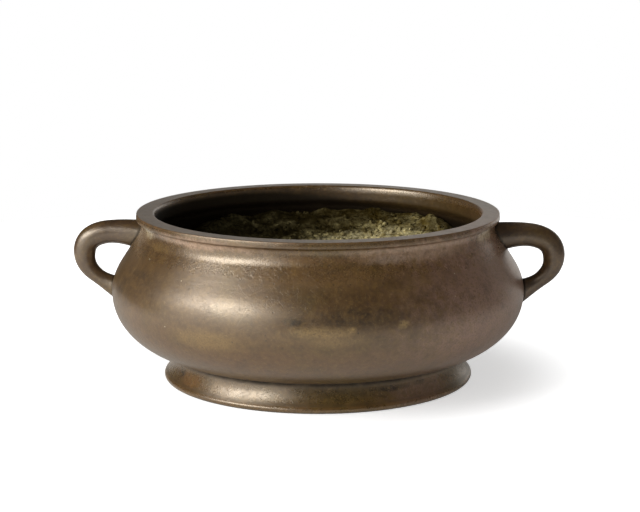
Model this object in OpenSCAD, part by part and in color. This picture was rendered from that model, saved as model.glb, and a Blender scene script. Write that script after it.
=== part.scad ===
// Bombe censer of cast bronze: a round-bellied bowl with a flat lip, a spreading foot ring,
// two fixed loop handles and a bed of old incense ash.
// Millimetres, +Z up. The origin is the middle of the resting face, and the handles lie along X.

/* [Bowl] */
// Height from the resting face to the top of the lip
rim_height = 74.6; // [72:0.2:80]
// Diameter of the belly at its widest line
belly_diameter = 184; // [178:0.5:194]
// Height of the belly's widest line
belly_height = 39.5; // [38:0.1:42]
// Diameter of the neck under the lip
neck_diameter = 158.8; // [156:0.2:162]
// Diameter and height of the line where the outline turns from the full belly to the hollow neck
shoulder_diameter = 171.3; // [168:0.1:174]
shoulder_height = 55.9; // [54:0.1:58]
// Lean of the outline from upright at that line, in degrees
shoulder_slope = 33; // [30:0.5:36]
// How far the outline runs straight above and below that line
shoulder_rise = 9; // [7:0.1:10]
shoulder_fall = 5.5; // [4:0.1:7]
// How far the outline runs upright below the neck, above the belly's widest line and below it
neck_run = 4.6; // [3.5:0.1:6]
belly_rise = 7.3; // [6:0.1:9]
belly_fall = 15.9; // [14:0.1:18]
// How far the outline runs out from the foot, and its slope there, in degrees
underside_run = 11.4; // [9:0.1:14]
underside_slope = 10; // [6:0.5:14]
// Diameter of the flat in the middle of the underside
underside_flat = 98; // [90:1:104]
// Height of the underside above the resting face
underside_height = 9.4; // [8.4:0.2:11]
// Thickness of the wall at the belly
wall = 6; // [4.5:0.5:7]
// Thickness of the bowl's floor
floor_thickness = 6; // [4:0.5:9]

/* [Lip] */
// How far the lip stands out from the neck
lip_overhang = 1.5; // [1.2:0.1:2]
// Height of the lip
lip_height = 2.9; // [2.9:0.1:3.6]
// Width and depth of the rounding along the lip's outside edge
lip_round = 1.4; // [0.8:0.1:2]
lip_turn = 2.1; // [1.4:0.1:2.1]
// Rounding under the lip, which runs on into a hollow fillet on the neck
lip_roll = 0.7; // [0.4:0.1:0.8]
// Width of the lip from its outer edge to the mouth
lip_width = 8.6; // [7:0.2:10]
// Width and depth of the rounding at the mouth's edge
mouth_round = 1.3; // [0.6:0.1:2]
mouth_turn = 3.6; // [2:0.2:4.6]
// Depth of the upright band inside the mouth
mouth_band = 6.5; // [5:0.5:8]
// Depth over which the wall widens under that band
undercut_depth = 4.5; // [4:0.5:6]

/* [Foot ring] */
// Outside diameter of the foot, over its bead
foot_diameter = 138.6; // [136:0.2:146]
// Diameter of the foot where it meets the bowl
foot_neck_diameter = 131; // [128:0.5:133]
// Height at which the foot meets the bowl
seat_height = 12.2; // [11.4:0.1:13.2]
// Height of the rounded bead along the resting edge
foot_bead = 3; // [2:0.2:4]
// Inside diameter of the foot at the resting face
foot_bore = 125; // [122:0.5:127]
// Diameter of the spigot under the bowl that holds the foot ring
spigot_diameter = 120; // [117:0.5:121]
// Wall of the spigot
spigot_wall = 4; // [3:0.5:6]
// Length of the spigot below the foot ring's seat
spigot_length = 3.5; // [2.5:0.5:5]

/* [Handles] */
// How far each loop stands out past the belly
handle_reach = 18.1; // [16:0.1:22]
// Depth of the upper root's middle below the top of the lip
upper_root_drop = 11.1; // [10.6:0.1:12]
// Depth of the loop's outermost point below the top of the lip
outer_bend_drop = 20.1; // [19:0.1:21]
// Slope of the upper arm where it leaves the shoulder, in degrees
upper_arm_slope = 12.5; // [8:0.5:16]
// Slope of the lower arm where it meets the belly's widest line, in degrees
lower_arm_slope = 22.5; // [18:0.5:28]
// Thickness of the upper arm
upper_arm = 10.6; // [9:0.1:11]
// Thickness to which the loop thins at its lower end, before it swells
lower_arm = 6; // [5.6:0.1:7]
// How much the upper and lower roots swell where they sit on the bowl, on each side
upper_root_flare = 1.7; // [0.6:0.1:2]
lower_root_flare = 3; // [2:0.1:3.2]
// Diameter of the tenons through the bowl's wall
tenon_diameter = 5.4; // [4.4:0.1:6]

/* [Ash bed] */
// Depth of the ash below the top of the lip where it is highest on the wall
ash_back_drop = 11; // [11:0.5:15]
// Depth of the ash below the top of the lip at its lowest point
ash_low_drop = 26; // [20:0.5:32]
// How far the ash's lowest line lies in front of the middle
ash_low_front = 22; // [0:1:40]
// Turn of the ash's high side from the back towards the right, in degrees
ash_turn = 20; // [0:1:30]
// Depth of the bank along the back wall below the top of the lip, and its width
ash_bank_drop = 13.3; // [13.2:0.1:16]
ash_bank_width = 22; // [16:1:28]
// Depth and width of the hollow between the ash and the wall on the right, and the width of its floor
ash_gap_depth = 6; // [2:0.5:8]
ash_gap_width = 16; // [12:1:20]
ash_gap_floor = 4; // [2:0.5:6]

/* [Fits] */
// Clearance round each tenon, and under each handle's root
tenon_clearance = 0.1; // [0.05:0.01:0.2]
// Clearance round the spigot in the foot ring
spigot_clearance = 0.1; // [0.05:0.01:0.2]
// Clearance between the ash and the bowl's inside wall
ash_clearance = 0.3; // [0.1:0.1:0.6]

/* [Hidden] */
$fn = 96;

// Steps along each half of the shoulder, under the belly and round each small rounding
shoulder_steps = 11;
underbelly_steps = 20;
round_steps = 5;
cavetto_steps = 8;
// Distance within which two points of an outline count as one
nearly = 0.001;
// Rings along each handle and sides round it
handle_rings = 40;
handle_sides = 20;
// Shares of the bowl's inside at which the ash's surface is set out, and sectors round it
ash_shares = [0.2, 0.4, 0.56, 0.68, 0.78, 0.88, 1];
ash_sectors = 24;

// Bowl
belly_r = belly_diameter / 2;
neck_r = neck_diameter / 2;
flat_r = underside_flat / 2;
shoulder_r = shoulder_diameter / 2;
lip_r = neck_r + lip_overhang;
lip_z = rim_height - lip_height;
lip_fillet = lip_overhang - lip_roll;
neck_top_z = lip_z - lip_fillet;
mouth_r = lip_r - lip_width;
band_z = rim_height - mouth_band;
undercut_z = band_z - undercut_depth;
inside_r = belly_r - wall;
inside_z = underside_height + floor_thickness;

// Foot ring
foot_r = foot_diameter / 2;
foot_neck_r = foot_neck_diameter / 2;
bead_r = foot_bead / 2;
// Angle on the bead at which the hollow face of the foot runs into it
bead_start = 70;
spigot_r = spigot_diameter / 2;
spigot_bore_r = spigot_r - spigot_wall;
foot_bore_r = foot_bore / 2;

// Handles
tenon_r = tenon_diameter / 2;
// How far the swept arms run into the wall before they are trimmed to it
root_sink = 4;
// How far each tenon reaches into its arm
tenon_grip = 2;
// Straight runs of the loop's curve: out from the upper root, above and below the outer bend,
// and out from the lower root
upper_run = 18.4;
bend_rise = 6.8;
bend_fall = 4.3;
lower_run = 13;
// Share of each arm over which the root's swelling fades
flare_share = 0.35;
// How late along the loop the arm thins
taper_skew = 2;

// Curves
function ease(u) = u * u * (3 - 2 * u);
function bezier(p, t) =
    pow(1 - t, 3) * p[0] + 3 * pow(1 - t, 2) * t * p[1] + 3 * (1 - t) * t * t * p[2] + pow(t, 3) * p[3];
function bezier_aim(p, t) =
    pow(1 - t, 2) * (p[1] - p[0]) + 2 * (1 - t) * t * (p[2] - p[1]) + t * t * (p[3] - p[2]);
function arc(centre, across, up, from, to) = [
    for (i = [0 : round_steps])
    let (a = from + (to - from) * i / round_steps)
    centre + [across * cos(a), up * sin(a)]
];
// An outline without the second of two points that meet
function joined(points) = [
    for (i = [0 : len(points) - 1])
    if (i == 0 || norm(points[i] - points[max(0, i - 1)]) > nearly) points[i]
];
// 0 at low, 1 at high, smooth between; low may be the greater
function ramp(x, low, high) = ease(max(0, min(1, (x - low) / (high - low))));

// Shape of the bowl, as distance from the axis and height
shoulder = [shoulder_r, shoulder_height];
shoulder_aim = [-sin(shoulder_slope), cos(shoulder_slope)];
belly_curve = [
    [belly_r, belly_height],
    [belly_r, belly_height + belly_rise],
    shoulder - shoulder_fall * shoulder_aim,
    shoulder
];
neck_curve = [
    shoulder,
    shoulder + shoulder_rise * shoulder_aim,
    [neck_r, neck_top_z - neck_run],
    [neck_r, neck_top_z]
];
underbelly_curve = [
    [foot_neck_r, seat_height],
    [foot_neck_r, seat_height] + underside_run * [cos(underside_slope), sin(underside_slope)],
    [belly_r, belly_height - belly_fall],
    [belly_r, belly_height]
];
inside_curve = [
    [inside_r, belly_height],
    [inside_r, belly_height - belly_fall],
    [flat_r + underside_run, inside_z],
    [flat_r, inside_z]
];
// Share of a rising curve at height z, by halving the range that holds it
function share_at(curve, z, low = 0, high = 1, turns = 24) =
    let (mid = (low + high) / 2)
    turns == 0 ? mid
    : bezier(curve, mid)[1] < z ? share_at(curve, z, mid, high, turns - 1)
    : share_at(curve, z, low, mid, turns - 1);
function side_radius(z) =
    let (curve = z < shoulder_height ? belly_curve : neck_curve)
    bezier(curve, share_at(curve, z))[0];

// Outside of the bowl from the foot ring's seat up to the fillet under the lip
side_points = concat(
    [for (i = [0 : underbelly_steps]) bezier(underbelly_curve, i / underbelly_steps)],
    [for (i = [1 : shoulder_steps]) bezier(belly_curve, i / shoulder_steps)],
    [for (i = [1 : shoulder_steps]) bezier(neck_curve, i / shoulder_steps)]
);
// Underside, from the middle out to the seat
spigot_z = seat_height - spigot_length;
bore_rise = (seat_height - underside_height) * (spigot_bore_r - flat_r) / (foot_neck_r - flat_r);
underside_points = [
    [0, underside_height],
    [flat_r, underside_height],
    [spigot_bore_r, underside_height + bore_rise],
    [spigot_bore_r, spigot_z],
    [spigot_r, spigot_z],
    [spigot_r, seat_height]
];
lip_points = concat(
    arc([neck_r + lip_fillet, neck_top_z], lip_fillet, lip_fillet, 180, 90),
    arc([lip_r - lip_roll, lip_z + lip_roll], lip_roll, lip_roll, -90, 0),
    arc([lip_r - lip_round, rim_height - lip_turn], lip_round, lip_turn, 0, 90),
    arc([mouth_r + mouth_round, rim_height - mouth_turn], mouth_round, mouth_turn, 90, 180)
);
// Inside of the bowl, from the mouth's band down to the middle of the floor
inside_points = concat(
    [[mouth_r, band_z]],
    [
        for (i = [0 : 2 * shoulder_steps - 1])
        let (z = undercut_z + (belly_height - undercut_z) * i / (2 * shoulder_steps))
        [side_radius(z) - wall, z]
    ],
    [for (i = [0 : underbelly_steps]) bezier(inside_curve, i / underbelly_steps)],
    [[0, inside_z]]
);

// Shape of a handle's loop, as distance from the axis and height
upper_root_z = rim_height - upper_root_drop;
upper_root = [side_radius(upper_root_z), upper_root_z];
lower_root = [belly_r, belly_height];
upper_aim = [cos(upper_arm_slope), sin(upper_arm_slope)];
lower_aim = [cos(lower_arm_slope), sin(lower_arm_slope)];
function arm_radius(share) =
    let (thin = ease(pow(share, taper_skew)))
    (upper_arm + (lower_arm - upper_arm) * thin) / 2;
outer_bend = [belly_r + handle_reach - arm_radius(0.5), rim_height - outer_bend_drop];
upper_curve = [
    upper_root - root_sink * upper_aim,
    upper_root + upper_run * upper_aim,
    outer_bend + [0, bend_rise],
    outer_bend
];
lower_curve = [
    outer_bend,
    outer_bend - [0, bend_fall],
    lower_root + lower_run * lower_aim,
    lower_root - root_sink * lower_aim
];
// Along the loop, t runs from 0 at the upper root through 1 at the outer bend to 2 at the lower root
function loop_point(t) = t < 1 ? bezier(upper_curve, t) : bezier(lower_curve, t - 1);
function loop_aim(t) = t < 1 ? bezier_aim(upper_curve, t) : bezier_aim(lower_curve, t - 1);
function root_swell(flare, t) = flare * pow(max(0, 1 - t / flare_share), 2);
function loop_radius(t) =
    arm_radius(t / 2) + root_swell(upper_root_flare, t) + root_swell(lower_root_flare, 2 - t);
function loop_ring(t) =
    let (aim = loop_aim(t) / norm(loop_aim(t)), side = [-aim[1], aim[0]])
    [
        for (k = [0 : handle_sides - 1])
        let (a = 360 * k / handle_sides, p = loop_point(t) + loop_radius(t) * cos(a) * side)
        [p[0], loop_radius(t) * sin(a), p[1]]
    ];

// Shape of the ash: a trough whose curve runs from its lowest line up to its highest place on the wall,
// with a bank along the back wall and a hollow beside the wall on the right
ash_rise = ash_low_drop - ash_back_drop;
ash_span = mouth_r + ash_low_front;
ash_trough_r = (ash_span * ash_span + ash_rise * ash_rise) / (2 * ash_rise);
ash_low_z = rim_height - ash_low_drop;
// Turns from the back, in degrees: the bank fades on both sides, and the gap opens and closes on the right
bank_fade = [66, 40];
gap_opens = [46, 60];
gap_closes = [160, 120];
// Height of the ash at a distance from the axis and a turn from the back towards the right
function ash_height(r, turn) =
    let (
        near = min(r, mouth_r),
        along = near * cos(turn - ash_turn) + ash_low_front,
        trough = ash_low_z + ash_trough_r - sqrt(ash_trough_r * ash_trough_r - along * along),
        bank = ramp(near, mouth_r - ash_bank_width, mouth_r) * ramp(abs(turn), bank_fade[0], bank_fade[1]),
        gap = ramp(near, mouth_r - ash_gap_width, mouth_r - ash_gap_floor)
            * ramp(turn, gap_opens[0], gap_opens[1]) * ramp(turn, gap_closes[0], gap_closes[1])
    )
    trough + bank * max(0, rim_height - ash_bank_drop - trough) - gap * ash_gap_depth;

// Solid of the bowl's side, which trims the handles' roots
module bowl_side(gap) {
    grown = [for (p = side_points) p + [gap, 0]];
    rotate_extrude() polygon(concat([[0, seat_height]], grown, [[0, neck_top_z]]));
}

// Space inside the bowl, up past the lip
module bowl_space() {
    above = rim_height + lip_width;
    rotate_extrude() polygon(concat([[0, above], [mouth_r, above]], inside_points));
}

// One tenon or its mortise, along X at the given root, out to the tenon's grip in the arm
module tenon(root, r) {
    reach = root[0] + tenon_grip;
    translate([reach - tenon_length(root), 0, root[1]])
        rotate([0, 90, 0]) cylinder(r = r, h = tenon_length(root));
}
// Long enough to pass the wall at either root
function tenon_length(root) = tenon_grip + root[0] - mouth_r + wall;

module mortises() {
    for (turn = [0, 180]) rotate([0, 0, turn]) {
        tenon(upper_root, tenon_r + tenon_clearance);
        tenon(lower_root, tenon_r + tenon_clearance);
    }
}

module loop_sweep() {
    rings = [for (i = [0 : handle_rings]) loop_ring(2 * i / handle_rings)];
    points = [for (ring = rings) each ring];
    last = handle_rings * handle_sides;
    sides = [
        for (i = [0 : handle_rings - 1], k = [0 : handle_sides - 1])
        let (a = i * handle_sides, b = a + handle_sides, n = (k + 1) % handle_sides)
        each [[a + k, b + n, b + k], [a + k, a + n, b + n]]
    ];
    caps = [
        [for (k = [handle_sides - 1 : -1 : 0]) k],
        [for (k = [0 : handle_sides - 1]) last + k]
    ];
    polyhedron(points, concat(sides, caps));
}

// A loop with its two tenons, peened flush with the inside of the bowl
module handle() {
    difference() {
        loop_sweep();
        bowl_side(tenon_clearance);
    }
    difference() {
        union() {
            tenon(upper_root, tenon_r);
            tenon(lower_root, tenon_r);
        }
        bowl_space();
    }
}

module bowl() {
    color("#6f5a45") difference() {
        rotate_extrude() polygon(joined(concat(underside_points, side_points, lip_points, inside_points)));
        mortises();
    }
}

module foot_ring() {
    start = [foot_r - bead_r + bead_r * cos(bead_start), bead_r + bead_r * sin(bead_start)];
    hollow_face = [
        for (i = [0 : cavetto_steps])
        let (u = 1 - i / cavetto_steps)
        [foot_neck_r + (start[0] - foot_neck_r) * pow(1 - u, 2), start[1] + (seat_height - start[1]) * u]
    ];
    bead = arc([foot_r - bead_r, bead_r], bead_r, bead_r, bead_start, -90);
    ring_r = spigot_r + spigot_clearance;
    inner_face = [[foot_bore_r, 0], [ring_r, spigot_z - foot_bead / 2], [ring_r, seat_height]];
    color("#5d4a34") rotate_extrude() polygon(concat(hollow_face, bead, inner_face));
}

module handle_left() {
    color("#75604b") mirror([1, 0, 0]) handle();
}

module handle_right() {
    color("#75604b") handle();
}

// Everything below the ash's surface, out past the bowl's inside wall
module ash_heap() {
    rings = len(ash_shares);
    reach = inside_r + ash_clearance;
    turns = [for (k = [0 : ash_sectors - 1]) 360 * k / ash_sectors - 180];
    surface = [
        for (share = ash_shares, turn = turns)
        let (r = share * reach)
        [r * sin(turn), r * cos(turn), ash_height(r, turn)]
    ];
    base = [for (turn = turns) [reach * sin(turn), reach * cos(turn), 0]];
    middle = len(surface) + len(base);
    points = concat(surface, base, [[0, 0, ash_height(0, 0)]]);
    fan = [for (k = [0 : ash_sectors - 1]) [middle, k, (k + 1) % ash_sectors]];
    sides = [
        for (i = [0 : rings - 1], k = [0 : ash_sectors - 1])
        let (a = i * ash_sectors, b = a + ash_sectors, n = (k + 1) % ash_sectors)
        each [[a + k, b + k, b + n], [a + k, b + n, a + n]]
    ];
    bottom = [for (k = [ash_sectors - 1 : -1 : 0]) len(surface) + k];
    polyhedron(points, concat(fan, sides, [bottom]));
}

module ash_bed() {
    shrunk = [for (p = inside_points) [max(0, p[0] - ash_clearance), p[1]]];
    color("#7d7758") intersection() {
        rotate_extrude() polygon(concat([[0, band_z]], shrunk));
        ash_heap();
    }
}

bowl();
foot_ring();
handle_left();
handle_right();
ash_bed();
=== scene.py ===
"""Dresses the bombe censer: patinated bronze, old incense ash, and a round white sheet in a white world."""

import math
import random

import bpy
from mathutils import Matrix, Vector, noise

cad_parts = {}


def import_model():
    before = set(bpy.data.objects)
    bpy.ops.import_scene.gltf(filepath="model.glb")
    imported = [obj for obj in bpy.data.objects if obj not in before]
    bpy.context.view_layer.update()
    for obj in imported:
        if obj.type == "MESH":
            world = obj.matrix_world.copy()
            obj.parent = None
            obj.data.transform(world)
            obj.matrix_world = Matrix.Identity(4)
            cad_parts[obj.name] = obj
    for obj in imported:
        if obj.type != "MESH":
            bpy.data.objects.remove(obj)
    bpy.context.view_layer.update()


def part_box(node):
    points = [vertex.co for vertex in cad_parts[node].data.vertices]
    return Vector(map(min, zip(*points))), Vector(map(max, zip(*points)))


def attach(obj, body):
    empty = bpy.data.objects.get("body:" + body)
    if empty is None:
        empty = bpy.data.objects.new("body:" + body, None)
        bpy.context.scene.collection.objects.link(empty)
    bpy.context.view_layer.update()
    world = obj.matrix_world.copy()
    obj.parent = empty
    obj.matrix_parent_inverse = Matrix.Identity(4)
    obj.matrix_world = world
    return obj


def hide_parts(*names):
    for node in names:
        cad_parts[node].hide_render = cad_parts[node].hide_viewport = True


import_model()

# Bowl, in millimetres
MM = 0.001
RIM_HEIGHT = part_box("bowl")[1].z / MM
BELLY_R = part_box("bowl")[1].y / MM
BELLY_HEIGHT = 39.5
NECK_R = 79.4
WAIST_R = 78.8
WAIST_Z = 69.2
HOLLOW_R = 9.6
SHOULDER_R = 85.65
SHOULDER_Z = 55.9
SHOULDER_SLOPE = math.radians(33)
SHOULDER_FALL = 5.5
BELLY_RISE = 7.3
BELLY_FALL = 15.9
UNDERSIDE_RUN = 11.4
UNDERSIDE_SLOPE = math.radians(10)
UNDERSIDE_HEIGHT = 9.4
FLAT_R = 49.0
WALL = 6.0
FLOOR_THICKNESS = 6.0
LIP_OVERHANG = 1.5
LIP_HEIGHT = 2.9
LIP_EDGE = 0.3
LIP_FACE = 5.0
LIP_LEAN = 17
LIP_ROLL = 0.7
LIP_WIDTH = 8.6
MOUTH_ROUND = 1.3
MOUTH_TURN = 3.6
MOUTH_BAND = 6.5
UNDERCUT = 4.5
LIP_R = NECK_R + LIP_OVERHANG
LIP_Z = RIM_HEIGHT - LIP_HEIGHT
LIP_FILLET_R = LIP_R - LIP_ROLL - WAIST_R
LIP_FILLET_RISE = LIP_Z - WAIST_Z
LIP_FLAT_R = LIP_R - LIP_FACE + (LIP_FACE - LIP_EDGE) * math.cos(math.radians(LIP_LEAN))
MOUTH_R = LIP_R - LIP_WIDTH
BAND_Z = RIM_HEIGHT - MOUTH_BAND
UNDERCUT_Z = BAND_Z - UNDERCUT
INSIDE_R = BELLY_R - WALL
INSIDE_Z = UNDERSIDE_HEIGHT + FLOOR_THICKNESS

# Foot ring
FOOT_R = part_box("foot_ring")[1].x / MM
SEAT_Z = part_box("foot_ring")[1].z / MM
FOOT_NECK_R = 65.5
FOOT_FACE_R = 65.0
FOOT_BORE_R = 62.5
BEAD_R = 1.5
BEAD_START = 44
SPIGOT_R = 60.0
SPIGOT_BORE_R = 56.0
SPIGOT_LENGTH = 3.5

# Handles
LOOP_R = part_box("handle_right")[1].x / MM
UPPER_ROOT_R = 81.14
UPPER_ROOT_DROP = 11.1
OUTER_BEND_DROP = 20.1
UPPER_ARM_SLOPE = math.radians(12.5)
LOWER_ARM_SLOPE = math.radians(22.5)
UPPER_ARM = 10.6
LOWER_ARM = 6.0
UPPER_FLARE = 1.7
LOWER_FLARE = 3.0
ROOT_SINK = 4.0
UPPER_RUN = 18.4
BEND_RISE = 6.8
BEND_FALL = 4.3
LOWER_RUN = 13.0
FLARE_SHARE = 0.35
TAPER_SKEW = 2.0

# Ash
ASH_BACK_DROP = 11.0
ASH_LOW_DROP = 26.0
ASH_LOW_FRONT = 22.0
ASH_TURN = math.radians(20)
ASH_BANK_DROP = 13.3
ASH_BANK_WIDTH = 22.0
ASH_GAP_DEPTH = 6.0
ASH_GAP_WIDTH = 16.0
ASH_GAP_FLOOR = 4.0
ASH_CLEARANCE = 0.4
ASH_WALL_SHARES = (0.15, 0.3, 0.5, 0.7, 0.85, 1.0)

# Crumbled surface of the ash: where the bank and the gap fade in, in degrees from the back, and its rises
ASH_BANK_ENDS = (66, 40)
ASH_GAP_START = (50, 60)
ASH_GAP_END = (160, 120)
ASH_BANK_RAGGED = 2.4
ASH_LIFT = 0.2
ASH_BROAD = 0.8
ASH_CLODS = 1.5
ASH_CRUMBS = 0.55
ASH_CLUMP = (51, 47)
ASH_CLUMP_RADII = (8, 2)
ASH_CLUMP_RISE = 2.6
ASH_CLUMP_RAGGED = 1.8
CRUMB_SIDES = 7
CRUMB_RINGS = ((-0.7, 0.6), (0.0, 1.0), (0.6, 0.7))

# Unevenness left by the hand that finished the bronze: its depths, and the sizes of its waves
BOWL_FINISH = 0.14
FOOT_FINISH = 0.1
LOOP_FINISH = 0.16
SLOW_WAVE = 31
QUICK_WAVE = 8

# Soot, which comes nearer the rim on the left as painted shade, polish and the zone round the handles' roots
SOOT_AND_SHADE_START = 0.8
SOOT_AND_SHADE_LEFT = 3.5
SOOT_AND_SHADE_RIGHT = 14
POLISH_START = SHOULDER_Z - 3
POLISH_FULL = SHOULDER_Z + 8
FOOT_POLISH = 0.8
LOOP_POLISH = 0.4
ROOT_ZONE_X = 60
ROOT_ZONE_Y = 16
ROOT_ZONE_R = 77

# Camera, fitted to the photograph's frame of 640 by 512
IMAGE_W = 640
FOCAL_PIXELS = 1736.5
AXIS_PIXELS_LEFT = 2.05
CAMERA_AZIMUTH = math.radians(2.4)
CAMERA_PITCH = math.radians(10.96)
CAMERA_DISTANCE = 764.1
CAMERA_HEIGHT = 201.7

# Studio, in metres
SHEET_R = 0.45
SHEET_WHITE = (0.88, 0.88, 0.88, 1)
WHITE = (1, 1, 1, 1)
LIT_SIDE = (-0.84, -0.54, 0)
BACK_WALL = (0.3, 0.95, 0)


def ease(u):
    return u * u * (3 - 2 * u)


def lerp(a, b, t):
    return a + (b - a) * t


def ramp(x, low, high):
    """0 at low, 1 at high, smooth between; low may be the greater."""
    return ease(max(0.0, min(1.0, (x - low) / (high - low))))


def srgb(r, g, b):
    """A colour as it looks on screen, 0 to 255, as the linear colour that a shader takes."""
    def linear(c):
        c /= 255
        return c / 12.92 if c <= 0.04045 else ((c + 0.055) / 1.055) ** 2.4
    return (linear(r), linear(g), linear(b), 1.0)


def bezier(p, t):
    s = 1 - t
    return s ** 3 * p[0] + 3 * s * s * t * p[1] + 3 * s * t * t * p[2] + t ** 3 * p[3]


def bezier_aim(p, t):
    s = 1 - t
    return s * s * (p[1] - p[0]) + 2 * s * t * (p[2] - p[1]) + t * t * (p[3] - p[2])


def arc(centre, across, up, start, end, steps):
    """Points of part of an ellipse, given in degrees."""
    angles = [math.radians(lerp(start, end, i / steps)) for i in range(steps + 1)]
    return [(centre[0] + across * math.cos(a), centre[1] + up * math.sin(a)) for a in angles]


# Outline of the bowl, as distance from the axis and height
SHOULDER = Vector((SHOULDER_R, SHOULDER_Z))
SHOULDER_AIM = Vector((-math.sin(SHOULDER_SLOPE), math.cos(SHOULDER_SLOPE)))
BELLY = [
    Vector((BELLY_R, BELLY_HEIGHT)), Vector((BELLY_R, BELLY_HEIGHT + BELLY_RISE)),
    SHOULDER - SHOULDER_FALL * SHOULDER_AIM, SHOULDER]
UNDERBELLY = [Vector(p) for p in (
    (FOOT_NECK_R, SEAT_Z),
    (FOOT_NECK_R + UNDERSIDE_RUN * math.cos(UNDERSIDE_SLOPE),
     SEAT_Z + UNDERSIDE_RUN * math.sin(UNDERSIDE_SLOPE)),
    (BELLY_R, BELLY_HEIGHT - BELLY_FALL),
    (BELLY_R, BELLY_HEIGHT))]
INSIDE = [Vector(p) for p in (
    (INSIDE_R, BELLY_HEIGHT), (INSIDE_R, BELLY_HEIGHT - BELLY_FALL), (FLAT_R + UNDERSIDE_RUN, INSIDE_Z),
    (FLAT_R, INSIDE_Z))]


def radius_at(curve, z):
    """Radius at height z of a curve whose height only rises or only falls."""
    low, high = 0.0, 1.0
    rising = curve[3].y > curve[0].y
    for _ in range(22):
        mid = (low + high) / 2
        if (bezier(curve, mid).y < z) == rising:
            low = mid
        else:
            high = mid
    return bezier(curve, low).x


def neck_profile():
    """The straight upper shoulder, the hollow of the neck and the fillet that carries it out to the lip."""
    slope = 180 + math.degrees(SHOULDER_SLOPE)
    points = arc((WAIST_R + HOLLOW_R, WAIST_Z), HOLLOW_R, HOLLOW_R, slope, 180, 20)
    straight = [tuple(SHOULDER.lerp(Vector(points[0]), i / 16)) for i in range(1, 16)]
    fillet = arc((WAIST_R + LIP_FILLET_R, WAIST_Z), LIP_FILLET_R, LIP_FILLET_RISE, 180, 90, 12)
    return straight + points + fillet[1:]


def outside_radius(z):
    if z >= WAIST_Z:
        return WAIST_R
    if z >= SHOULDER_Z:
        hollow_z = WAIST_Z - HOLLOW_R * math.sin(SHOULDER_SLOPE)
        hollow = WAIST_R + HOLLOW_R - math.sqrt(HOLLOW_R ** 2 - (WAIST_Z - max(z, hollow_z)) ** 2)
        return hollow + max(0, hollow_z - z) * math.tan(SHOULDER_SLOPE)
    return radius_at(BELLY if z > BELLY_HEIGHT else UNDERBELLY, z)


def inside_radius(z):
    if z >= BAND_Z:
        return MOUTH_R
    if z >= UNDERCUT_Z:
        return lerp(outside_radius(UNDERCUT_Z) - WALL, MOUTH_R, ease((z - UNDERCUT_Z) / UNDERCUT))
    if z >= BELLY_HEIGHT:
        return outside_radius(z) - WALL
    return radius_at(INSIDE, z)


def bowl_profile():
    spigot_z = SEAT_Z - SPIGOT_LENGTH
    bore_share = (SPIGOT_BORE_R - FLAT_R) / (FOOT_NECK_R - FLAT_R)
    points = [(0, UNDERSIDE_HEIGHT)]
    points += [(r, UNDERSIDE_HEIGHT) for r in (15, 30, 42, FLAT_R)]
    points += [(SPIGOT_BORE_R, lerp(UNDERSIDE_HEIGHT, SEAT_Z, bore_share)), (SPIGOT_BORE_R, spigot_z)]
    points += [(SPIGOT_R, spigot_z), (SPIGOT_R, SEAT_Z)]
    points += [tuple(bezier(UNDERBELLY, i / 70)) for i in range(71)]
    points += [tuple(bezier(BELLY, i / 36)) for i in range(1, 37)]
    points += neck_profile()
    points += arc((LIP_R - LIP_ROLL, LIP_Z + LIP_ROLL), LIP_ROLL, LIP_ROLL, -90, 0, 8)[1:]
    face_z = RIM_HEIGHT - LIP_EDGE - (LIP_FACE - LIP_EDGE) * math.sin(math.radians(LIP_LEAN))
    points += arc((LIP_R - LIP_FACE, face_z), LIP_FACE, LIP_FACE, 0, LIP_LEAN, 8)
    points += arc((LIP_FLAT_R, RIM_HEIGHT - LIP_EDGE), LIP_EDGE, LIP_EDGE, LIP_LEAN, 90, 8)[1:]
    flat = (LIP_FLAT_R, MOUTH_R + MOUTH_ROUND)
    points += [(lerp(*flat, i / 10), RIM_HEIGHT) for i in range(1, 10)]
    points += arc((MOUTH_R + MOUTH_ROUND, RIM_HEIGHT - MOUTH_TURN), MOUTH_ROUND, MOUTH_TURN, 90, 180, 14)
    walls = ((RIM_HEIGHT - MOUTH_TURN, BAND_Z, 4), (BAND_Z, UNDERCUT_Z, 8), (UNDERCUT_Z, BELLY_HEIGHT, 24))
    for top, bottom, steps in walls:
        for i in range(1, steps + 1):
            z = lerp(top, bottom, i / steps)
            points.append((inside_radius(z), z))
    points += [tuple(bezier(INSIDE, i / 24)) for i in range(1, 25)]
    points.append((0, INSIDE_Z))
    return points


def foot_profile():
    centre = (FOOT_R - BEAD_R, BEAD_R)
    bead = arc(centre, BEAD_R, BEAD_R, BEAD_START, -90, 16)
    shares = [i / 28 for i in range(28)]
    points = [(lerp(FOOT_FACE_R, bead[0][0], s ** 2), lerp(SEAT_Z, bead[0][1], s)) for s in shares]
    points += bead
    points += [(lerp(centre[0], FOOT_BORE_R, i / 4), 0) for i in range(1, 5)]
    points += [(SPIGOT_R, SEAT_Z - SPIGOT_LENGTH - BEAD_R), (SPIGOT_R, SEAT_Z)]
    return points


# Outline of a handle's loop, in the same plane
def arm_radius(share):
    return lerp(UPPER_ARM, LOWER_ARM, ease(share ** TAPER_SKEW)) / 2


def loop_radius(t):
    upper = UPPER_FLARE * max(0, 1 - t / FLARE_SHARE) ** 2
    lower = LOWER_FLARE * max(0, 1 - (2 - t) / FLARE_SHARE) ** 2
    return arm_radius(t / 2) + upper + lower


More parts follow.
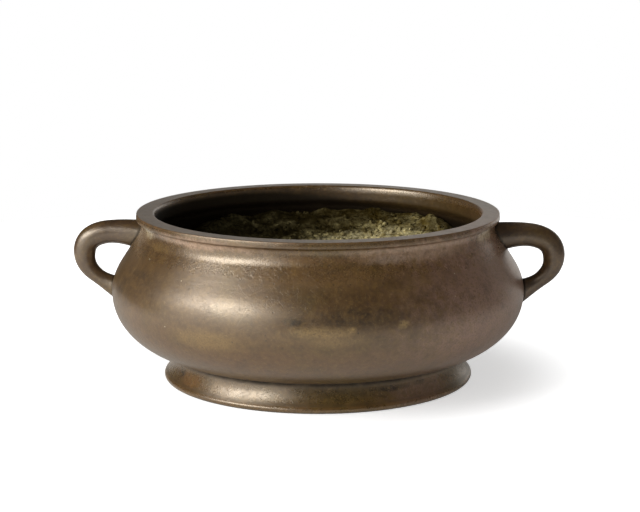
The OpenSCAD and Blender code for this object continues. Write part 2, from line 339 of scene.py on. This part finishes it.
def loop_curves():
    upper_z = RIM_HEIGHT - UPPER_ROOT_DROP
    upper = Vector((UPPER_ROOT_R, upper_z))
    lower = Vector((BELLY_R, BELLY_HEIGHT))
    bend = Vector((LOOP_R - arm_radius(0.5), RIM_HEIGHT - OUTER_BEND_DROP))
    out = Vector((math.cos(UPPER_ARM_SLOPE), math.sin(UPPER_ARM_SLOPE)))
    back = Vector((math.cos(LOWER_ARM_SLOPE), math.sin(LOWER_ARM_SLOPE)))
    up = Vector((0, 1))
    return (
        (upper - ROOT_SINK * out, upper + UPPER_RUN * out, bend + BEND_RISE * up, bend),
        (bend, bend - BEND_FALL * up, lower + LOWER_RUN * back, lower - ROOT_SINK * back),
    )


LOOP = loop_curves()


def loop_at(t):
    """Middle and direction of the loop at t.

    t is 0 at the upper root, 1 at the outer bend and 2 at the lower root.
    """
    curve, local = (LOOP[0], t) if t < 1 else (LOOP[1], t - 1)
    return bezier(curve, local), bezier_aim(curve, local).normalized()


ROOT_PLACES = (0.1, 0.15, 0.2, 0.25, 0.3, 1.6, 1.7, 1.75, 1.8, 1.85, 1.9)
ROOT_SAMPLES = [(loop_at(t)[0], loop_radius(t)) for t in ROOT_PLACES]


def distance_to_roots(x, y, z):
    """How far a point lies from the nearest handle root's skin, in millimetres."""
    return min(math.sqrt((abs(x) - c.x) ** 2 + y * y + (z - c.y) ** 2) - r for c, r in ROOT_SAMPLES)


def hand_finish(x, y, z, depth):
    """How far the cast and filed surface lies inside its true form: from 0 to about depth, in millimetres."""
    p = Vector((x, y, z))
    slow = noise.noise(p / SLOW_WAVE)
    quick = noise.noise(p / QUICK_WAVE + Vector((7, 3, 1)))
    return depth * (0.5 + 0.36 * slow + 0.14 * quick)


# Values that the bronze reads at each vertex
MARKS = ("wear", "grime_and_shade", "soot_and_shade", "polish")


def add_piece(name, shape, marks, material, node):
    """A smooth mesh piece, from millimetres, that stands for a CAD node; marks gives a vertex its values."""
    verts, faces = shape
    mesh = bpy.data.meshes.new(name)
    mesh.from_pydata([(x * MM, y * MM, z * MM) for x, y, z in verts], [], faces)
    mesh.validate()
    mesh.polygons.foreach_set("use_smooth", [True] * len(mesh.polygons))
    if marks:
        for key, values in zip(MARKS, zip(*(marks(*p) for p in verts))):
            mesh.attributes.new(key, "FLOAT", "POINT").data.foreach_set("value", values)
    mesh.materials.append(material)
    piece = bpy.data.objects.new(name, mesh)
    bpy.context.scene.collection.objects.link(piece)
    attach(piece, "root")
    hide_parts(node)


def lathe(profile, depth, closed=False, segments=480):
    """Turns a profile about Z, hand finished to a depth.

    A point on the axis is one vertex; closed joins the last point to the first.
    """
    verts, rings, faces = [], [], []
    for r, z in profile:
        if r < 1e-6:
            rings.append([len(verts)])
            verts.append((0, 0, z))
            continue
        rings.append(list(range(len(verts), len(verts) + segments)))
        for k in range(segments):
            a = 2 * math.pi * k / segments
            x, y = math.cos(a), math.sin(a)
            inset = hand_finish(r * x, r * y, z, depth)
            verts.append(((r - inset) * x, (r - inset) * y, z))
    for low, high in zip(rings, rings[1:] + rings[:1] if closed else rings[1:]):
        for k in range(segments):
            n = (k + 1) % segments
            if len(low) == 1:
                faces.append((low[0], high[n], high[k]))
            elif len(high) == 1:
                faces.append((low[k], low[n], high[0]))
            else:
                faces.append((low[k], low[n], high[n], high[k]))
    return verts, faces


def near(across, up, fade, full):
    """1 up to a distance full from an edge, 0 from the distance fade on, in millimetres."""
    return ramp(math.hypot(across, up), fade, full)


def bowl_marks(x, y, z):
    """Wear on the lip, painted shade in the crease under the lip and round the seat, dark joints at the
    handles' roots, soot inside that is painted shade where it comes nearer the rim on the left, and polish on
    the neck.
    """
    r = math.hypot(x, y)
    outer = near(r - LIP_FLAT_R, z - RIM_HEIGHT, fade=0.9, full=0.3)
    inner = 0.6 * near(r - MOUTH_R - MOUTH_ROUND, z - RIM_HEIGHT, fade=1.6, full=0.3)
    # Painted shade in the crease under the lip and round the seat; dark joints where the handles' roots meet
    # the bowl.
    crease = 0.25 * near(r - LIP_R + LIP_ROLL, z - LIP_Z, fade=1.6, full=0.3)
    seat = near(r - FOOT_NECK_R, z - SEAT_Z, fade=5.5, full=1.5)
    by_root = abs(x) > ROOT_ZONE_X and abs(y) < ROOT_ZONE_Y and r > ROOT_ZONE_R
    roots = ramp(distance_to_roots(x, y, z), 1.4, 0.1) if by_root else 0
    hollow = z > INSIDE_Z - 1 and (r < MOUTH_R + 0.5 or z < BAND_Z and r < inside_radius(z) + 1.5)
    # The soot reaches full darkness nearer the rim on the left: painted shade on the wall that faces away
    # from the key.
    soot_and_shade_depth = lerp(SOOT_AND_SHADE_LEFT, SOOT_AND_SHADE_RIGHT, ramp(x, -40, 60))
    soot_and_shade = ramp(z, RIM_HEIGHT - SOOT_AND_SHADE_START, RIM_HEIGHT - soot_and_shade_depth) if hollow else 0
    polish = ramp(z, POLISH_START, POLISH_FULL) * ramp(z, RIM_HEIGHT, RIM_HEIGHT - 1)
    return max(outer, inner), max(crease, seat, roots), soot_and_shade, polish


def foot_marks(x, y, z):
    """Wear along the bead, and painted shade at the joint with the bowl, above the bead and where the foot
    rests.
    """
    wear = 0.5 * near(math.hypot(x, y) - FOOT_R, z - BEAD_R * 1.5, fade=1.9, full=0.5)
    # Painted shade under the bowl, in the crease above the bead and where the foot meets the floor.
    joint = ramp(z, SEAT_Z - 2.8, SEAT_Z - 0.3)
    floor = 0.8 * ramp(z, 0.9, 0.1)
    crease = 0.25 * ramp(abs(z - 2 * BEAD_R - 0.4), 0.9, 0.1)
    return wear, max(joint, floor, crease), 0.0, FOOT_POLISH


def handle_marks(x, y, z):
    """Wear on the outer bend, and dark joints at the roots."""
    wear = 0.35 * ramp(abs(x), LOOP[1][0].x + 1.5, LOOP_R)
    grime_and_shade = ramp(math.hypot(x, y) - outside_radius(z), 1.3, 0.15)
    return wear, grime_and_shade, 0.0, LOOP_POLISH


def handle_mesh(side, rings=120, sides=56):
    """One loop, closed at both roots inside the wall; side is 1 for the right and -1 for the left."""
    verts, faces = [], []
    for i in range(rings + 1):
        t = 2 * i / rings
        centre, aim = loop_at(t)
        across = Vector((-aim.y, aim.x))
        for k in range(sides):
            a = 2 * math.pi * k / sides
            bare = centre + loop_radius(t) * math.cos(a) * across
            y = loop_radius(t) * math.sin(a)
            r = loop_radius(t) - hand_finish(side * bare.x, y, bare.y, LOOP_FINISH)
            p = centre + r * math.cos(a) * across
            verts.append((side * p.x, r * math.sin(a), p.y))
    for i in range(rings):
        for k in range(sides):
            n = (k + 1) % sides
            quad = (i * sides + k, i * sides + n, (i + 1) * sides + n, (i + 1) * sides + k)
            faces.append(quad if side > 0 else quad[::-1])
    first = tuple(range(sides))
    last = tuple(rings * sides + k for k in range(sides))
    faces += [first[::-1], last] if side > 0 else [first, last[::-1]]
    return verts, faces


def ash_level(x, y):
    """Height of the settled ash, in millimetres: a trough that rises to the back right."""
    rise = ASH_LOW_DROP - ASH_BACK_DROP
    span = MOUTH_R + ASH_LOW_FRONT
    trough = (span * span + rise * rise) / (2 * rise)
    inward = min(1, MOUTH_R / max(1, math.hypot(x, y)))
    along = inward * (x * math.sin(ASH_TURN) + y * math.cos(ASH_TURN)) + ASH_LOW_FRONT
    return RIM_HEIGHT - ASH_LOW_DROP + trough - math.sqrt(trough ** 2 - along ** 2)


def ripple(x, y, size, seed):
    """Noise over the plan of the ash, with waves of a size in millimetres."""
    return noise.noise(Vector((x, y, 0)) / size + Vector(seed))


def ash_height(x, y):
    """Height of the crumbly surface, with its bank along the back wall, the gap at the right and a clump."""
    r, turn = min(math.hypot(x, y), MOUTH_R), math.degrees(math.atan2(x, y))
    ragged = ripple(x, y, 6, (5, 2, 4))
    bank = ramp(r + 3 * ragged, MOUTH_R - ASH_BANK_WIDTH, MOUTH_R)
    bank *= ramp(abs(turn) + 4 * ragged, *ASH_BANK_ENDS)
    gap = ramp(r + 2 * ragged, MOUTH_R - ASH_GAP_WIDTH, MOUTH_R - ASH_GAP_FLOOR)
    gap *= ramp(turn + 3 * ragged, *ASH_GAP_START) * ramp(turn, *ASH_GAP_END)
    level = ash_level(x, y)
    level += bank * max(0, RIM_HEIGHT - ASH_BANK_DROP - level) - gap * ASH_GAP_DEPTH
    level += ASH_BANK_RAGGED * bank * ripple(x, y, 10, (8, 1, 6))
    broad = ASH_BROAD * ripple(x, y, 15, (2, 9, 1))
    clods = ASH_CLODS * abs(ripple(x, y, 4.6, (3, 8, 2)))
    crumbs = ASH_CRUMBS * ripple(x, y, 1.7, (1, 4, 9))
    clump = ramp(math.hypot(x - ASH_CLUMP[0], y - ASH_CLUMP[1]), *ASH_CLUMP_RADII)
    clump *= ASH_CLUMP_RISE + ASH_CLUMP_RAGGED * ragged
    return level + ASH_LIFT + broad - clods + crumbs + clump


def ash_edge(angle):
    """Distance from the axis at which the ash meets the wall, in millimetres."""
    r = MOUTH_R
    for _ in range(8):
        z = ash_height(r * math.cos(angle), r * math.sin(angle))
        r = inside_radius(min(z, BAND_Z - 0.5)) - ASH_CLEARANCE
    return r


def ash_mesh(rings=140, segments=600):
    """The bed of ash, closed along the wall and the floor of the bowl, with its crumbs."""
    verts, faces = [(0, 0, ash_height(0, 0))], []
    angles = [2 * math.pi * k / segments for k in range(segments)]
    edges = [ash_edge(a) for a in angles]
    for i in range(1, rings + 1):
        for a, edge in zip(angles, edges):
            x, y = edge * i / rings * math.cos(a), edge * i / rings * math.sin(a)
            verts.append((x, y, ash_height(x, y)))
    for share in ASH_WALL_SHARES:
        for k, a in enumerate(angles):
            z = lerp(verts[1 + (rings - 1) * segments + k][2], INSIDE_Z, share)
            r = inside_radius(z) - ASH_CLEARANCE
            verts.append((r * math.cos(a), r * math.sin(a), z))
    rows = rings + len(ASH_WALL_SHARES)
    for k in range(segments):
        n = (k + 1) % segments
        faces.append((0, 1 + k, 1 + n))
        for i in range(rows - 1):
            low, high = 1 + i * segments, 1 + (i + 1) * segments
            faces.append((low + k, high + k, high + n, low + n))
    faces.append(tuple(1 + (rows - 1) * segments + k for k in reversed(range(segments))))
    add_crumbs(verts, faces)
    return verts, faces


def add_crumbs(verts, faces, count=1500):
    """Loose grains and flakes, half buried in the ash."""
    draw = random.Random(7)
    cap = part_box("ash_bed")[1].z / MM
    for _ in range(count):
        a, share = draw.uniform(0, 2 * math.pi), math.sqrt(draw.random())
        r = share * (ash_edge(a) - 2.5)
        x, y = r * math.cos(a), r * math.sin(a)
        size = 0.35 + 1.1 * draw.random() ** 3
        z = ash_height(x, y) + 0.25 * size
        if z + 1.2 * size > cap:
            continue
        rings = []
        for level, spread in CRUMB_RINGS:
            rings.append(range(len(verts), len(verts) + CRUMB_SIDES))
            for k in range(CRUMB_SIDES):
                turn = 2 * math.pi * k / CRUMB_SIDES
                reach = size * spread * draw.uniform(0.7, 1.15)
                verts.append((x + reach * math.cos(turn), y + reach * math.sin(turn), z + level * size))
        top = len(verts)
        verts.append((x, y, z + 0.9 * size))
        for k in range(CRUMB_SIDES):
            n = (k + 1) % CRUMB_SIDES
            for low, high in zip(rings, rings[1:]):
                faces.append((low[k], low[n], high[n], high[k]))
            faces.append((rings[-1][k], rings[-1][n], top))
        faces.append(tuple(reversed(rings[0])))


class Nodes:
    """The nodes of a material or world: add returns a node, the calls that build on it an output."""

    def __init__(self, owner, space):
        self.owner = owner
        owner.use_nodes = True
        self.tree = owner.node_tree
        self.tree.nodes.clear()
        self.place = self.add("ShaderNodeTexCoord").outputs[space]

    def add(self, kind, sockets=None, **settings):
        made = self.tree.nodes.new(kind)
        for key, value in settings.items():
            setattr(made, key, value)
        for key, value in (sockets or {}).items():
            if isinstance(value, bpy.types.NodeSocket):
                self.tree.links.new(value, made.inputs[key])
            else:
                made.inputs[key].default_value = value
        return made

    def vector(self, operation, a, b=(0, 0, 0), out="Vector"):
        return self.add("ShaderNodeVectorMath", {0: a, 1: b}, operation=operation).outputs[out]

    def math(self, operation, first, *rest):
        """Joins values by one operation, in their order."""
        for value in rest:
            first = self.add("ShaderNodeMath", {0: first, 1: value}, operation=operation).outputs[0]
        return first

    def times(self, *values):
        return self.math("MULTIPLY", *values)

    def step(self, value, low, high, to_low=0.0, to_high=1.0):
        sockets = {"Value": value, "From Min": low, "From Max": high, "To Min": to_low, "To Max": to_high}
        return self.add("ShaderNodeMapRange", sockets, interpolation_type="SMOOTHSTEP").outputs[0]

    def mix(self, factor, a, b):
        return self.add("ShaderNodeMix", {0: factor, 6: a, 7: b}, data_type="RGBA").outputs[2]

    def mark(self, name):
        return self.add("ShaderNodeAttribute", attribute_name=name).outputs["Fac"]

    def noise(self, size_mm, detail=4.0, roughness=0.55, distortion=0.0, place=None):
        sockets = {"Vector": place or self.place, "Scale": 1 / (size_mm * MM), "Detail": detail,
                   "Roughness": roughness, "Distortion": distortion}
        return self.add("ShaderNodeTexNoise", sockets).outputs["Fac"]

    def specks(self, cell_mm, radius, share):
        """Small round marks, one in some of the cells of a grid of points."""
        cells = self.add("ShaderNodeTexVoronoi", {"Vector": self.place, "Scale": 1 / (cell_mm * MM)})
        near_point = self.step(cells.outputs["Distance"], radius, radius * 0.4)
        draw = self.add("ShaderNodeSeparateColor", {"Color": cells.outputs["Color"]}).outputs[0]
        return self.times(near_point, self.step(draw, 1 - share, 1 - share + 0.02))

    def scratches(self, lean):
        """Fine scratches on the front and back, leaning by an angle in degrees."""
        sockets = {"Vector": self.place, "Angle": math.radians(lean)}
        turned = self.add("ShaderNodeVectorRotate", sockets, rotation_type="Y_AXIS").outputs[0]
        drawn_out = self.vector("MULTIPLY", turned, (0.07, 0.3, 1.3))
        return self.step(self.noise(0.8, 3, 0.6, place=drawn_out), 0.6, 0.68)

    def spot(self, centre, radii, ragged=0.4, size_mm=4.0):
        """A soft ragged patch on the surface: 1 at its middle, 0 outside; sizes in millimetres."""
        offset = self.vector("SUBTRACT", self.place, Vector(centre) * MM)
        scaled = self.vector("MULTIPLY", offset, Vector([1 / (r * MM) for r in radii]))
        reach = self.vector("LENGTH", scaled, out="Value")
        edge = self.times(self.math("SUBTRACT", self.noise(size_mm), 0.5), 2 * ragged)
        return self.step(self.math("ADD", reach, edge), 1.0, 0.3)

    def bump(self, height, strength, distance_mm):
        sockets = {"Height": height, "Strength": strength, "Distance": distance_mm * MM}
        return self.add("ShaderNodeBump", sockets).outputs[0]

    def principled(self, **sockets):
        named = {key.replace("_", " "): value for key, value in sockets.items()}
        return self.surface(self.add("ShaderNodeBsdfPrincipled", named).outputs[0])

    def surface(self, shader):
        self.add("ShaderNodeOutputMaterial", {"Surface": shader})
        return self.owner


BROWN = srgb(80, 56, 27)
OLIVE = srgb(80, 62, 22)
# A mauve tone, made light enough to stand in as painted fill light on the right side.
MAUVE_WITH_PAINTED_FILL = srgb(138, 106, 92)
UMBER = srgb(70, 50, 34)
OCHRE = srgb(124, 96, 50)
GOLD = srgb(150, 122, 72)
ORANGE = srgb(120, 82, 42)
DARK = srgb(44, 31, 18)
BLACK = srgb(24, 17, 10)
PALE = srgb(206, 192, 160)
GREY = srgb(126, 112, 98)
# A pale rose, used as painted sheen on the neck.
PAINTED_NECK_SHEEN = srgb(176, 144, 120)
RUST = srgb(104, 68, 42)
TAN = srgb(106, 80, 50)
# Near-black of the soot inside, also used as painted shade.
SOOT_AND_SHADE_BLACK = srgb(20, 14, 7)

# Marks on the bowl, the foot and the handles, with some painted light and shade among them as noted: middle
# and half sizes in millimetres, colour and strength
BOWL_SPOTS = (
    # mauve patina on the right side, made lighter there as painted fill light
    ((92, -42, 42), (84, 80, 60), MAUVE_WITH_PAINTED_FILL, 1.0),
    ((0, -80, 25), (95, 70, 10), RUST, 0.45),
    ((20, -89, 45.5), (26, 20, 6.5), DARK, 0.7),
    ((-5, -91, 44.6), (7, 12, 2.6), BLACK, 0.95),
    ((4, -91, 40.4), (18, 14, 3.2), GOLD, 0.62),
    ((10, -90, 37.0), (17, 14, 4.0), GOLD, 0.42),
    ((17.4, -90, 41), (2.6, 6, 2.2), GOLD, 0.95),
    ((38, -84, 42), (3.0, 6, 2.6), GOLD, 0.95),
    ((40, -77, 53), (5.5, 14, 11), TAN, 0.5),
    # painted sheen on the neck, front left
    ((-46, -65, 70.8), (42, 34, 3.2), PAINTED_NECK_SHEEN, 0.8),
    ((-66, -46, 65.6), (12, 14, 2.4), OCHRE, 0.55),
    # painted reflection in the neck beside the left handle
    ((-72, -34, 70), (7, 12, 3.6), PALE, 0.6),
    # painted sheen on the neck, front right
    ((44, -66, 68.5), (46, 30, 6), PAINTED_NECK_SHEEN, 0.65),
    # painted reflection in the neck beside the right handle
    ((73, -31, 69.5), (8, 14, 4), PALE, 0.6),
    ((-74, -46, 54), (9, 10, 2.2), DARK, 0.5),
    ((-84, -36, 47), (12, 14, 6), DARK, 0.35),
    ((5, -80, 67), (34, 14, 1.9), ORANGE, 0.4),
    ((4, -84, 61), (52, 22, 7), TAN, 0.7),
    ((55, 46, 70), (34, 30, 6), OLIVE, 0.5),
    # painted shade on the inner wall at the back left, which faces away from the key
    ((-30, 66, 70), (70, 34, 8), DARK, 0.7),
    ((33, -74, 66.6), (11, 12, 2.4), GREY, 0.5),
    ((-42, -80, 34), (26, 22, 6), GOLD, 0.5),
    ((-72, -56, 32), (30, 30, 14), RUST, 0.25),
)
FOOT_SPOTS = (
    # mauve patina on the right of the foot, made lighter there as painted fill light
    ((46, -48, 6), (28, 26, 9), MAUVE_WITH_PAINTED_FILL, 0.7),
    ((-52, -40, 6.5), (13, 13, 5), ORANGE, 0.75),
    ((-57, -31, 7), (2.8, 4, 3.6), BLACK, 0.95),
    ((34, -56, 8.4), (13, 10, 1.9), BLACK, 0.95),
    ((45, -48, 9), (6, 7, 1.6), BLACK, 0.85),
    ((3, -65, 6), (30, 16, 5), OLIVE, 0.6),
)
HANDLE_SPOTS = (
    ((-98, 0, 75), (24, 20, 9), UMBER, 0.5),
    # grey patina on the right handle's top, made lighter there as painted fill light
    ((98, 0, 75), (26, 20, 9), GREY, 0.85),
)

# Patch rubbed with fine scratches, painted pale where the belly's highlight falls: middle and half sizes
RUBBED_HIGHLIGHT = (-31, -85, 47.5)
RUBBED_HIGHLIGHT_SIZE = (14, 18, 7)

# Layers over the patina: pattern, where it begins and where it is full, strength and colour
PATINA_LAYERS = {
    "clouded": ("mottle", 0.5, 0.68, 0.34, DARK),
    "thin": ("mottle", 0.5, 0.34, 0.24, OCHRE),
    "bright": ("flecks", 0.48, 0.34, 0.4, OCHRE),
    "dull": ("flecks", 0.52, 0.68, 0.65, DARK),
    "glints": ("grain", 0.52, 0.7, 0.38, GOLD),
    "pores": ("grain", 0.48, 0.3, 0.65, DARK),
}
ROUGH = 0.34
POLISHED = 0.26
MATTE = 0.25

ASH_OLIVE = srgb(140, 118, 56)
ASH_PALE = srgb(246, 228, 160)
ASH_DARK = srgb(44, 33, 12)
ASH_GRAINS = srgb(236, 224, 176)
# Pale colour of the painted pool of light on the ash.
ASH_LIT_PALE = srgb(248, 234, 184)

# Dark ash at the back and the right, and painted shadow of the rim over the left: middle, half sizes,
# raggedness, its size, strength, colour
ASH_PATCHES = (
    ((10, 72, 60), (110, 50, 30), 0.5, 6, 0.92, srgb(40, 31, 9)),
    ((66, 38, 60), (38, 34, 30), 0.5, 6, 0.7, srgb(46, 36, 12)),
    # painted shadow of the rim over the left of the ash
    ((-60, 30, 50), (104, 130, 60), 0.4, 9, 0.96, srgb(15, 12, 5)),
)
# Painted pool of light on the ash, right of the middle: middle, half sizes, raggedness, its size.
ASH_LIT_PATCH = ((22, 34, 56), (34, 15, 30), 0.4, 6)


def bronze(name, spots, seed, ground, cloud):
    """Brown patina over bronze: cloudy colour, fine grain, scratches, pits, worn edges, and creases darkened
    as painted shade.
    """
    s = Nodes(bpy.data.materials.new(name), "Object")
    moved = s.vector("ADD", s.place, (seed, 0.3 * seed, 0))
    patterns = {
        "mottle": s.noise(7, 8, 0.7, 0.2, place=moved),
        "flecks": s.noise(1.6, 5, 0.75),
        "grain": s.noise(0.8, 4, 0.8),
    }
    patina = s.mix(s.step(s.noise(50, 3, place=moved), 0.36, 0.66), ground, cloud)
    patina = s.mix(s.step(s.noise(26, 5, 0.6, 0.5, place=moved), 0.46, 0.74, 0, 0.8), patina, OLIVE)
    for centre, radii, colour, strength in spots:
        broken = s.step(patterns["flecks"], 0.36, 0.64, 0.35 * strength, strength)
        patina = s.mix(s.times(s.spot(centre, radii), broken), patina, colour)
    masks = {}
    for layer, (pattern, begin, full, strength, colour) in PATINA_LAYERS.items():
        masks[layer] = s.step(patterns[pattern], begin, full, 0, strength)
        patina = s.mix(masks[layer], patina, colour)

    pits = s.specks(cell_mm=3.4, radius=0.13, share=0.2)
    patina = s.mix(s.times(pits, 0.7), patina, BLACK)
    patina = s.mix(s.times(s.specks(cell_mm=7.5, radius=0.05, share=0.3), 0.85), patina, PALE)
    worn = s.times(s.mark("wear"), s.step(s.noise(5, 4, 0.6), 0.4, 0.65, 0.05, 0.55))
    patina = s.mix(worn, patina, ORANGE)
    # The grime mark darkens as painted shade in the creases, at the seat and where the foot rests, and as
    # dark joints at the handles' roots.
    dirt_and_shade = s.times(s.mark("grime_and_shade"), s.step(s.noise(4, 3), 0.3, 0.6, 0.75, 1.0))
    patina = s.mix(dirt_and_shade, patina, BLACK)
    # Soot inside, with painted shade where it comes nearer the rim on the left.
    soot_and_shade = s.mark("soot_and_shade")
    patina = s.mix(s.times(soot_and_shade, 0.95), patina, SOOT_AND_SHADE_BLACK)
    strokes = s.math("MAXIMUM", s.scratches(22), s.scratches(60))
    # pale strokes and tint at the belly's highlight: real scratches, with a painted highlight
    rubbed_highlight = s.times(s.spot(RUBBED_HIGHLIGHT, RUBBED_HIGHLIGHT_SIZE, 0.2), s.math("ADD", 0.07, s.times(strokes, 0.16)))
    patina = s.mix(rubbed_highlight, patina, PALE)

    matte = s.math("MAXIMUM", s.times(masks["dull"], 0.4), dirt_and_shade, soot_and_shade)
    uneven = s.step(s.noise(5, 5, 0.65), 0.3, 0.7, -0.02, 0.02)
    rough = s.math("ADD", s.step(s.mark("polish"), 0, 1, ROUGH, POLISHED), uneven, s.times(matte, MATTE))
    scratches = s.math("MAXIMUM", s.scratches(25), s.scratches(-40), s.scratches(80))
    turned = s.noise(2.2, 3, 0.6, place=s.vector("MULTIPLY", s.place, (0.16, 0.16, 2.4)))
    raised = s.math("ADD", s.times(patterns["grain"], 0.8), s.times(s.noise(6, 3), 1.2), s.times(turned, 0.5))
    sunk = s.math("ADD", s.times(pits, 0.8), s.times(scratches, 0.5))
    return s.principled(
        Base_Color=patina, Metallic=0.2, Roughness=rough, IOR=2.1, Specular_Tint=(1, 0.9, 0.75, 1),
        Specular_IOR_Level=s.step(matte, 0, 1, 0.5, 0.15),
        Normal=s.bump(s.math("SUBTRACT", raised, sunk), strength=0.3, distance_mm=0.12))


def ash():
    """Old ash: olive crumbs, dark at the right and along the back wall, with a painted rim shadow at the left
    and a pale, grainy painted pool of light right of the middle.
    """
    s = Nodes(bpy.data.materials.new("ash"), "Object")
    colour = s.mix(s.step(s.noise(9, 5, 0.6), 0.36, 0.64), ASH_OLIVE, ASH_PALE)
    colour = s.mix(s.step(s.noise(3.0, 5, 0.7, 0.6), 0.46, 0.62, 0, 0.9), colour, ASH_DARK)
    colour = s.mix(s.step(s.noise(1.3, 4, 0.7), 0.54, 0.68, 0, 0.7), colour, ASH_GRAINS)
    for centre, radii, ragged, size_mm, strength, dark in ASH_PATCHES:
        colour = s.mix(s.times(s.spot(centre, radii, ragged, size_mm), strength), colour, dark)
    # pale grains as a painted pool of light on the ash
    lit_patch = s.times(s.spot(*ASH_LIT_PATCH), s.step(s.noise(2.4, 5, 0.7), 0.4, 0.6, 0.05, 0.4))
    colour = s.mix(lit_patch, colour, ASH_LIT_PALE)
    return s.principled(Base_Color=colour, Roughness=0.95, Specular_IOR_Level=0.0,
                        Normal=s.bump(s.noise(0.9, 6, 0.75), strength=0.9, distance_mm=0.6))


def studio_white():
    """White to the camera but for the shadow round the object; in reflections it glows on the lit side."""
    s = Nodes(bpy.data.materials.new("studio_white"), "Object")
    path = s.add("ShaderNodeLightPath").outputs
    mirrored = s.math("MAXIMUM", path["Is Glossy Ray"], path["Is Transmission Ray"])
    reach = s.vector("LENGTH", s.place, out="Value")
    seen = s.times(path["Is Camera Ray"], s.step(reach, 0.08, 0.14, 0.5, 1.0))
    lit_side = s.vector("DOT_PRODUCT", s.place, LIT_SIDE, "Value")
    shown = s.times(s.step(lit_side, 0.08, 0.35, 0.12, 1.0), s.step(reach, 0.18, 0.44, 1.0, 0.0))
    glow = s.math("ADD", seen, s.times(mirrored, shown))
    plain = s.add("ShaderNodeBsdfDiffuse", {"Color": SHEET_WHITE}).outputs[0]
    bright = s.add("ShaderNodeEmission", {"Color": WHITE, "Strength": glow}).outputs[0]
    return s.surface(s.add("ShaderNodeAddShader", {0: plain, 1: bright}).outputs[0])


def floor_sheet(segments=96):
    """A round white sheet that the object stands on; the white of the world goes on past its edge."""
    mesh = bpy.data.meshes.new("floor_sheet")
    turns = [2 * math.pi * k / segments for k in range(segments)]
    verts = [(SHEET_R * math.cos(a), SHEET_R * math.sin(a), 0) for a in turns]
    mesh.from_pydata(verts, [], [tuple(range(segments))])
    mesh.materials.append(studio_white())
    sheet = bpy.data.objects.new("floor_sheet", mesh)
    bpy.context.scene.collection.objects.link(sheet)


def world():
    """White to the camera; to all else a room with a dark ceiling.

    Its walls are bright to diffuse rays. In reflections they are dim but for a bright stretch at the back.
    """
    made = bpy.data.worlds.new("studio")
    bpy.context.scene.world = made
    s = Nodes(made, "Generated")
    height = s.add("ShaderNodeSeparateXYZ", {0: s.place}).outputs["Z"]
    path = s.add("ShaderNodeLightPath").outputs
    mirrored_wall = s.step(s.vector("DOT_PRODUCT", s.place, BACK_WALL, "Value"), 0.76, 1.0, 0.1, 1.0)
    mirrored = s.step(height, 0.15, 0.55, mirrored_wall, 0.03)
    diffuse = s.step(height, 0.15, 0.6, 1.5, 0.08)
    level = s.step(path["Is Diffuse Ray"], 0, 1, mirrored, diffuse)
    level = s.step(path["Is Camera Ray"], 0, 1, level, 1.0)
    sky = s.add("ShaderNodeBackground", {"Color": WHITE, "Strength": level}).outputs[0]
    s.add("ShaderNodeOutputWorld", {"Surface": sky})


def softbox(name, azimuth, elevation, distance, width, height, radiance):
    """A rectangular lamp aimed at the bowl; azimuth is seen from the camera, negative to the left."""
    a = math.radians(azimuth) + CAMERA_AZIMUTH
    e = math.radians(elevation)
    aim = Vector((0, 0, RIM_HEIGHT / 2 * MM))
    away = Vector((math.sin(a) * math.cos(e), -math.cos(a) * math.cos(e), math.sin(e)))
    lamp = bpy.data.lights.new(name, "AREA")
    lamp.shape = "RECTANGLE"
    lamp.size, lamp.size_y = width, height
    lamp.energy = radiance * math.pi * width * height
    made = bpy.data.objects.new(name, lamp)
    made.location = aim + away * distance
    made.rotation_euler = away.to_track_quat("Z", "Y").to_euler()
    bpy.context.scene.collection.objects.link(made)


def camera():
    lens = bpy.data.cameras.new("camera")
    lens.sensor_width = 36
    lens.lens = FOCAL_PIXELS / IMAGE_W * lens.sensor_width
    lens.clip_start = 0.01
    made = bpy.data.objects.new("camera", lens)
    a, away = CAMERA_AZIMUTH, CAMERA_DISTANCE
    made.location = Vector((math.sin(a) * away, -math.cos(a) * away, CAMERA_HEIGHT)) * MM
    aside = math.atan(AXIS_PIXELS_LEFT / FOCAL_PIXELS)
    made.rotation_euler = (math.pi / 2 - CAMERA_PITCH, 0, a - aside)
    bpy.context.scene.collection.objects.link(made)
    bpy.context.scene.camera = made


camera()
floor_sheet()
world()
softbox("key", azimuth=-59, elevation=29, distance=1.25, width=0.85, height=0.4, radiance=8.2)
softbox("key_spread", azimuth=-57, elevation=18, distance=1.25, width=1.7, height=1.15, radiance=1.75)

bowl_bronze = bronze("bowl_bronze", BOWL_SPOTS, 0.0, BROWN, BROWN)
foot_bronze = bronze("foot_bronze", FOOT_SPOTS, 0.4, BROWN, OLIVE)
handle_bronze = bronze("handle_bronze", HANDLE_SPOTS, 0.9, UMBER, UMBER)
bowl_mesh = lathe(bowl_profile(), BOWL_FINISH)
foot_mesh = lathe(foot_profile(), FOOT_FINISH, closed=True)

for name, shape, marks, look, node, slot in (
    ("bowl_skin", bowl_mesh, bowl_marks, bowl_bronze, "bowl", "bowl_bronze"),
    ("foot_skin", foot_mesh, foot_marks, foot_bronze, "foot_ring", "foot_bronze"),
    ("left_loop", handle_mesh(-1), handle_marks, handle_bronze, "handle_left", "handle_bronze"),
    ("right_loop", handle_mesh(1), handle_marks, handle_bronze, "handle_right", "handle_bronze"),
    ("ash_surface", ash_mesh(), None, ash(), "ash_bed", "ash"),
):
    add_piece(name, shape, marks, look, node)

bpy.context.scene.view_settings.view_transform = "Standard"
